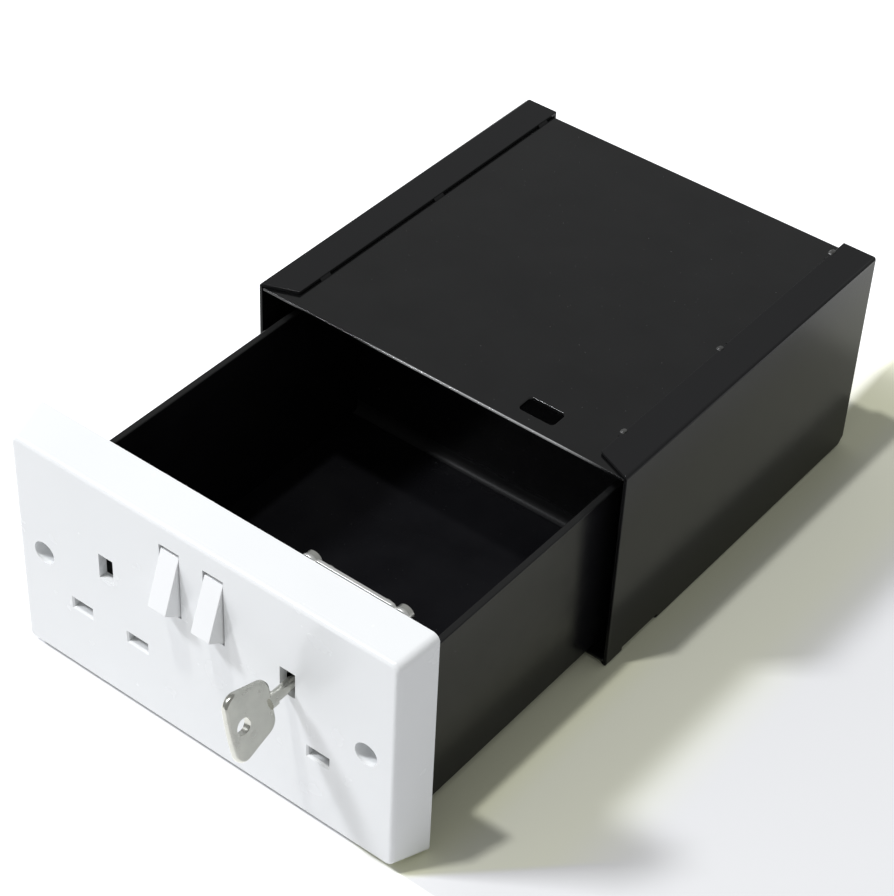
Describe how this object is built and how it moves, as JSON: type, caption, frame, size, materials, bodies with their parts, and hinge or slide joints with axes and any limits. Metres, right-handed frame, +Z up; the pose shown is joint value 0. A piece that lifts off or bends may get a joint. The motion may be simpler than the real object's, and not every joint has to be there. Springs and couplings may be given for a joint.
{
  "type": "outlet diversion safe",
  "caption": "Small safe disguised as a white double wall socket: a key-locked black steel drawer slides out of a folded steel case.",
  "frame": {"origin": "on the surface the safe stands on, under the middle of its width and of its length as pictured", "axes": "+X to the right seen from the front, +Y from the plate into the case, +Z up"},
  "size_m": [0.146, 0.266, 0.086],
  "materials": {
    "case_steel": "semi-gloss black powder coat",
    "guide_steel": "semi-gloss black powder coat",
    "drawer_steel": "satin black powder coat",
    "white_plastic": "gloss moulded white",
    "shutter_plastic": "satin moulded grey",
    "pin_steel": "zinc plated",
    "lock_metal": "nickel plated die casting",
    "plug_metal": "nickel plated brass",
    "wafer_brass": "stamped brass",
    "key_metal": "tumbled nickel plate"
  },
  "bodies": {
    "case": {"case_wrap": "case_steel", "side_panel_left": "case_steel", "side_panel_right": "case_steel", "weld_tacks": "case_steel", "drawer_guide_left": "guide_steel", "drawer_guide_right": "guide_steel"},
    "drawer": {"drawer_wrap": "drawer_steel", "drawer_side_left": "drawer_steel", "drawer_side_right": "drawer_steel", "faceplate": "white_plastic", "plate_screws": "pin_steel", "socket_shutter_left": "shutter_plastic", "socket_shutter_right": "shutter_plastic", "switch_cradle": "white_plastic", "switch_pin": "pin_steel", "lock_body": "lock_metal", "lock_cover": "lock_metal", "lock_cover_screws": "pin_steel", "lock_screws": "pin_steel"},
    "rocker_left": {"rocker_left": "white_plastic"},
    "rocker_right": {"rocker_right": "white_plastic"},
    "lock_plug": {"lock_plug": "plug_metal", "lock_wafers": "wafer_brass", "lock_cam": "lock_metal"},
    "lock_bolt": {"lock_bolt": "lock_metal"},
    "key": {"key": "key_metal"}
  },
  "joints": [
    {"name": "drawer_slide", "type": "slide", "parent": "case", "child": "drawer", "axis": [0, -1, 0], "range_m": [-0.0903, 0.037]},
    {"name": "rocker_left_tip", "type": "hinge", "parent": "drawer", "child": "rocker_left", "pos_m": [-0.01, -0.10465, 0.06245], "axis": [1, 0, 0], "range_deg": [0, 30]},
    {"name": "rocker_right_tip", "type": "hinge", "parent": "drawer", "child": "rocker_right", "pos_m": [0.0061, -0.10465, 0.06245], "axis": [1, 0, 0], "range_deg": [0, 30]},
    {"name": "lock_turn", "type": "hinge", "parent": "drawer", "child": "lock_plug", "pos_m": [0.03255, -0.10105, 0.0506], "axis": [0, -1, 0], "range_deg": [0, 90]},
    {"name": "bolt_rise", "type": "slide", "parent": "drawer", "child": "lock_bolt", "axis": [0, 0, 1], "range_m": [0, 0.0081]},
    {"name": "key_pull", "type": "slide", "parent": "lock_plug", "child": "key", "axis": [0, -1, 0], "range_m": [0, 0.03]}
  ],
  "couplings": [
    {"joint": "bolt_rise", "follows": "lock_turn", "m_per_rad": 0.005096}
  ]
}
